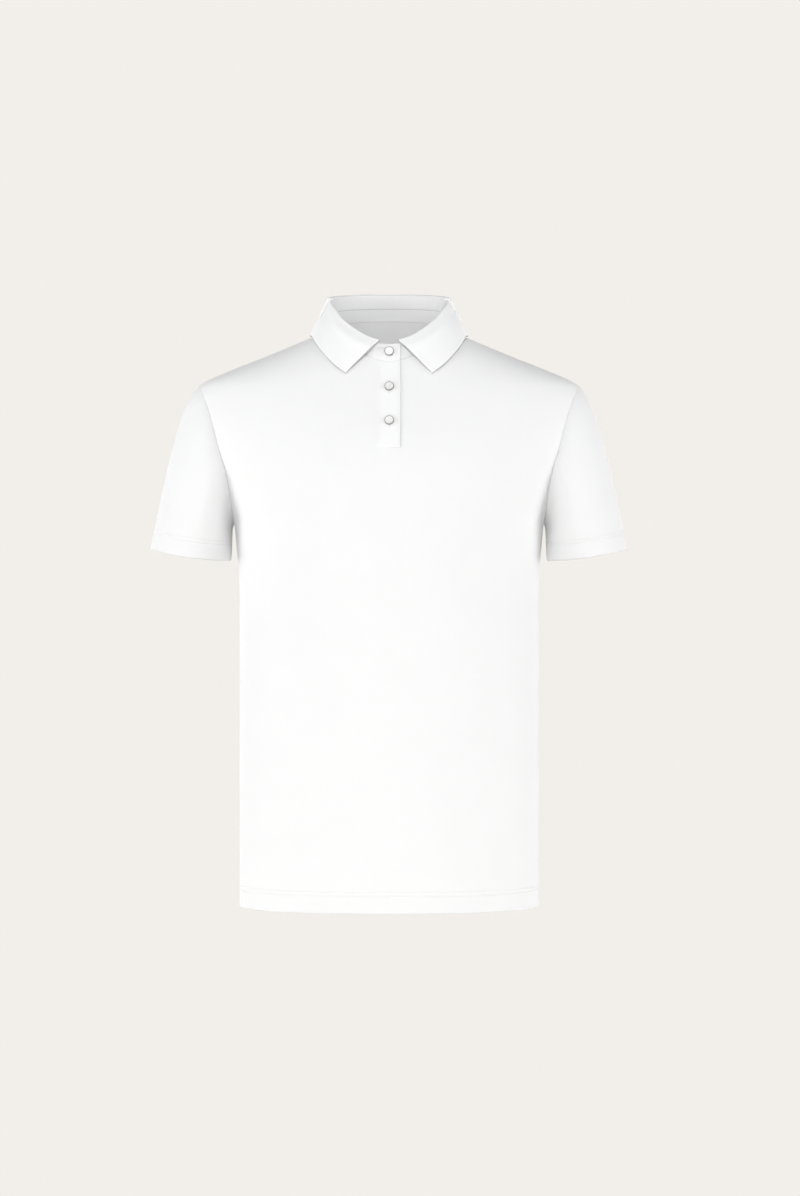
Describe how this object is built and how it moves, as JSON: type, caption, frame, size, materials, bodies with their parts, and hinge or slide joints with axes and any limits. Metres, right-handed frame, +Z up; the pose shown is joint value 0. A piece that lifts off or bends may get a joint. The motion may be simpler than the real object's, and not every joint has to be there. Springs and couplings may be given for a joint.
{
  "type": "polo shirt",
  "caption": "White short-sleeved polo shirt with a turned-down collar and a buttoned placket, filled out as worn, hollow and open at neck, hem and cuffs.",
  "frame": {"origin": "middle of the neck opening, level with the highest points of the shoulder seams, where the wearer's neck and shoulders hold the shirt", "axes": "+Z up along the body, +Y towards the back, +X towards the wearer's left"},
  "size_m": [0.5866, 0.2335, 0.7565],
  "materials": {
    "jersey": "smooth fine knit with a faint sheen",
    "collar_cloth": "the same knit, double and pressed",
    "button": "pearly, polished"
  },
  "bodies": {
    "root": {"front": "jersey", "back": "jersey", "sleeve_left": "jersey", "sleeve_right": "jersey", "collar_stand": "collar_cloth", "collar_leaf": "collar_cloth", "placket_top": "collar_cloth", "placket_under": "collar_cloth", "button_1": "button", "button_2": "button", "button_3": "button"}
  },
  "joints": []
}
